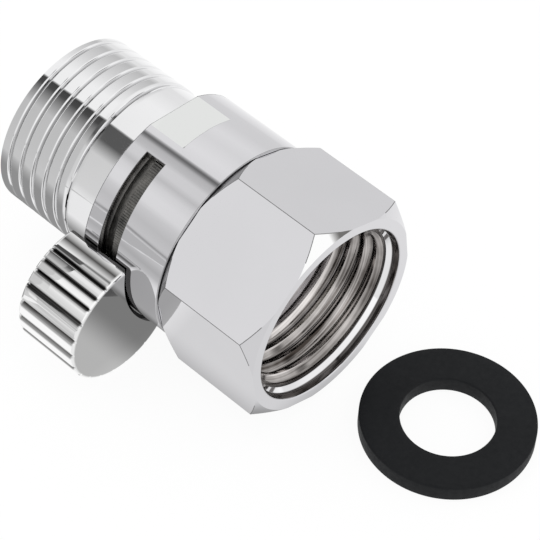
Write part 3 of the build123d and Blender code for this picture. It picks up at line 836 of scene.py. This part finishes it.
def raysOf(tree):
    # the camera's rays, and those that come from shiny things
    rays = nodeOf(tree, "ShaderNodeLightPath").outputs
    return rays["Is Camera Ray"], calc("MAXIMUM", rays["Is Glossy Ray"], rays["Is Transmission Ray"])


floor = newObject("floor", bpy.data.meshes.new("floor"))
bm = bmesh.new()
bmesh.ops.create_circle(bm, cap_ends=True, radius=studio["floorRadius"], segments=64)
bm.to_mesh(floor.data)
bm.free()
floorMaterial = bpy.data.materials.new("floorWhite")
tree, surface = clearedTree(floorMaterial)
cameraRay, shinyRay = raysOf(tree)
east, north, _ = parts(coordsOf(tree))


def shadowPool(pool):
    # painted shadow: metal sees the floor darker in a pool under the valve, given by the middle and half the length of
    # it on each axis
    sides = []
    for value, (middle, half) in ((east, pool["alongX"]), (north, pool["alongY"])):
        off = calc("ABSOLUTE", minus(value, middle * mm))
        out = calc("MAXIMUM", minus(off, half * mm), 0.0)
        sides.append(times(out, out))
    return spread(calc("SQRT", plus(*sides)), 0.0, pool["reach"] * mm, pool["tone"], 1.0, "SMOOTHSTEP")


# painted reflections: tones that the thread and the neck mirror towards the camera, by the angle round them: 90 faces
# the camera, 0 is at the floor's side. up to the last floor angle they lie on the floor, and from there on a curved
# backdrop well away from the valve
mirror = {"faceTurn": 214.07, "metalRadius": 10.4, "lastFloorAngle": 56.0, "neckFront": -25.0, "threadFront": -29.6,
          "floorReach": 0.2, "edgeReach": 0.1, "edgeBlur": 0.0003, "northEnd": (0.001, 0.003), "tonesBehind": 3.0,
          "threadTones": [(8, 0.3), (40, 0.3), (50, 0.6), (85, 0.55), (92, 0.3), (98, 0.07), (102.5, 0.05), (103, 0.95), (115, 0.95),
                          (130, 0.7), (145, 0.55), (153, 0.9)],
          "neckTones": [(8, 0.25), (16, 0.5), (25, 0.3), (38, 0.9), (56, 0.85), (62, 0.7), (83, 0.65), (92, 0.1), (102.5, 0.1),
                        (103, 0.9), (130, 0.95), (145, 0.85)]}


def mirroredRay(station, angle):
    # where a ray from the camera leaves the metal, and its way from there
    turn = mirror["faceTurn"] - angle
    start = place(station, mirror["metalRadius"], turn)
    way = (start - Vector(view["place"])).normalized()
    return start, way - 2 * way.dot(outwards(turn)) * outwards(turn)


def floorStops(station, tones):
    # ramp stops across the floor for the angles that it serves, where no tone stands for how far west the spot is
    stops = []
    for angle, tone in tones:
        if angle < mirror["lastFloorAngle"]:
            start, way = mirroredRay(station, angle)
            spot = start - way * start.z / way.z
            across = (spot.y + mirror["floorReach"]) / (2 * mirror["floorReach"])
            stops.append((min(max(across, 0.0), 1.0), -spot.x / mirror["edgeReach"] if tone is None else tone))
    return sorted(stops)


# painted shade: metal also sees the floor in grey bands across it, one set west of a line across the floor and another
# east of it
acrossFloor = spread(north, -mirror["floorReach"], mirror["floorReach"])
nearSide = ramped(acrossFloor, [(0.0, 0.78), (0.25, 0.68), (0.35, 0.56), (0.39, 0.66), (0.42, 0.97), (0.5, 1.0), (0.6, 1.0),
                                (0.7, 0.95), (1.0, 0.84)])
farSide = ramped(acrossFloor, [(0.0, 0.8), (0.5, 0.84), (0.6, 1.0), (1.0, 0.84)])
tone = times(shadowPool(studio["bodyPool"]), mixed(spread(east, *studio["farSideEdge"]), nearSide, farSide))
for tones, front in ((mirror["neckTones"], mirror["neckFront"]), (mirror["threadTones"], mirror["threadFront"])):
    edge = ramped(acrossFloor, floorStops(front, [(a, None) for a in range(0, 60, 5)]))
    behind = plus(east, times(edge, mirror["edgeReach"]))
    share = times(spread(behind, -mirror["edgeBlur"], mirror["edgeBlur"], 1.0, 0.0), spread(north, *mirror["northEnd"], 1.0, 0.0))
    tone = mixed(share, tone, ramped(acrossFloor, floorStops(front - mirror["tonesBehind"], tones)))
# the camera sees the floor white with a faint shadow, and metal sees it as a glow painted with the shadow pool and the
# tones above
paint = shaderOf(tree, "BsdfDiffuse", Color=(studio["floorColour"],) * 3 + (1,))
glow = shaderOf(tree, "Emission", Color=white, Strength=studio["seenWhite"])
seen = mixedShader(times(cameraRay, studio["seenShare"]), paint, glow)
tree.links.new(mixedShader(shinyRay, seen, shaderOf(tree, "Emission", Color=white, Strength=tone)), surface)
floor.data.materials.append(floorMaterial)

# the room: strips that run along the valve, by their angle about the flow axis, and white in front of the mouth
roomStops = [(-180, 0.9), (-20, 0.95), (-14, 1.0), (-6, 0.83), (16, 0.84), (35, 0.95), (50, 0.9), (70, 0.98), (84.5, 0.92),
             (86.5, 0.35), (88.5, 0.16), (91, 0.3), (93.5, 0.6), (100, 0.68), (104, 0.83), (112, 0.83), (118, 0.68), (125, 0.86),
             (135, 0.94), (144, 0.93), (150, 0.79), (162, 0.68), (173, 0.74), (175.5, 0.7), (177, 0.35), (178.5, 0.6), (180, 0.8)]
world = bpy.data.worlds.new("room")
scene.world = world
tree, surface = clearedTree(world, "ShaderNodeOutputWorld")
towards = coordsOf(tree, "Generated")
east, north, upwards = parts(towards)
strips = ramped(spread(calc("ARCTAN2", upwards, north), -math.pi, math.pi), [((a + 180) / 360, v) for a, v in roomStops])
toned = mixed(spread(east, *studio["frontEdge"]), strips, (studio["frontWhite"],) * 3)
# a dark stand to the right of the mouth, which its chamfer mirrors
stand = nodeOf(tree, "ShaderNodeVectorMath", {0: towards, 1: studio["standTowards"]}, operation="DOT_PRODUCT").outputs["Value"]
toned = mixed(spread(stand, *studio["standEdge"], 0.0, studio["standShare"]), toned, studio["standColour"])
cameraRay, shinyRay = raysOf(tree)
plain = shaderOf(tree, "Background", Color=white, Strength=studio["fill"])
room = shaderOf(tree, "Background", Color=toned, Strength=1.0)
blank = shaderOf(tree, "Background", Color=white, Strength=1.0)
tree.links.new(mixedShader(cameraRay, mixedShader(shinyRay, plain, room), blank), surface)

# a striped backdrop curved over the rear of the valve, seen only in the metal, where it glows with the painted
# reflection tones
backdropSizes = {"away": 60.0, "stations": (mirror["neckFront"], mirror["threadFront"], -60.0), "lastAngle": 150.0, "steps": 80,
                 "neckFade": 0.3}
bm = bmesh.new()
stationLayer = bm.verts.layers.float.new("station")
angleLayer = bm.verts.layers.float.new("angle")
rows = []
for k in range(backdropSizes["steps"] + 1):
    angle = mirror["lastFloorAngle"] + (backdropSizes["lastAngle"] - mirror["lastFloorAngle"]) * k / backdropSizes["steps"]
    rows.append([])
    for station in backdropSizes["stations"]:
        start, way = mirroredRay(station, angle)
        off, flat = (start - axisPoint).yz, way.yz
        lean = off.dot(flat) / flat.length_squared
        rest = (backdropSizes["away"] * mm) ** 2 - off.length_squared
        v = bm.verts.new(start + way * (math.sqrt(lean ** 2 + rest / flat.length_squared) - lean))
        v[stationLayer], v[angleLayer] = station, angle
        rows[-1].append(v)
skin(bm, rows, closed=False)
backdrop = newObject("stripedBackdrop", meshFromBmesh("stripedBackdrop", bm))
backdropMaterial = bpy.data.materials.new("stripedBackdrop")
tree, surface = clearedTree(backdropMaterial)
share = calc("DIVIDE", attribute(tree, "angle"), 180.0)
threadTone, neckTone = [ramped(share, [(a / 180, v) for a, v in mirror[key]]) for key in ("threadTones", "neckTones")]
middle, fade = mirror["threadFront"], backdropSizes["neckFade"]
neckShare = spread(attribute(tree, "station"), middle - fade, middle + fade)
tree.links.new(shaderOf(tree, "Emission", Color=mixed(neckShare, threadTone, neckTone), Strength=1.0), surface)
backdrop.data.materials.append(backdropMaterial)
backdrop.visible_camera = False
backdrop.visible_diffuse = False
backdrop.visible_transmission = False
backdrop.visible_shadow = False

lampData = bpy.data.lights.new("softLamp", "AREA")
lampData.shape = "DISK"
lampData.size = studio["lampSize"]
lampData.energy = studio["lampStrength"]
lamp = newObject("softLamp", lampData)
lamp.location = studio["lampPlace"]
lamp.rotation_euler = (-lamp.location).to_track_quat("-Z", "Y").to_euler()
lamp.visible_glossy = False

# camera at the photograph's angle
cameraData = bpy.data.cameras.new("camera")
cameraData.lens = view["lens"]
cameraData.sensor_width = 36.0
cameraData.sensor_fit = "HORIZONTAL"
cameraData.clip_start = 0.01
camera = newObject("camera", cameraData)
right = Vector(view["right"]).normalized()
up = -Vector(view["down"])
up = (up - right * up.dot(right)).normalized()
back = right.cross(up)
camera.matrix_world = Matrix.Translation(view["place"]) @ Matrix((right, up, back)).transposed().to_4x4()
scene.camera = camera
scene.view_settings.view_transform = "Standard"
print("studio and camera set")
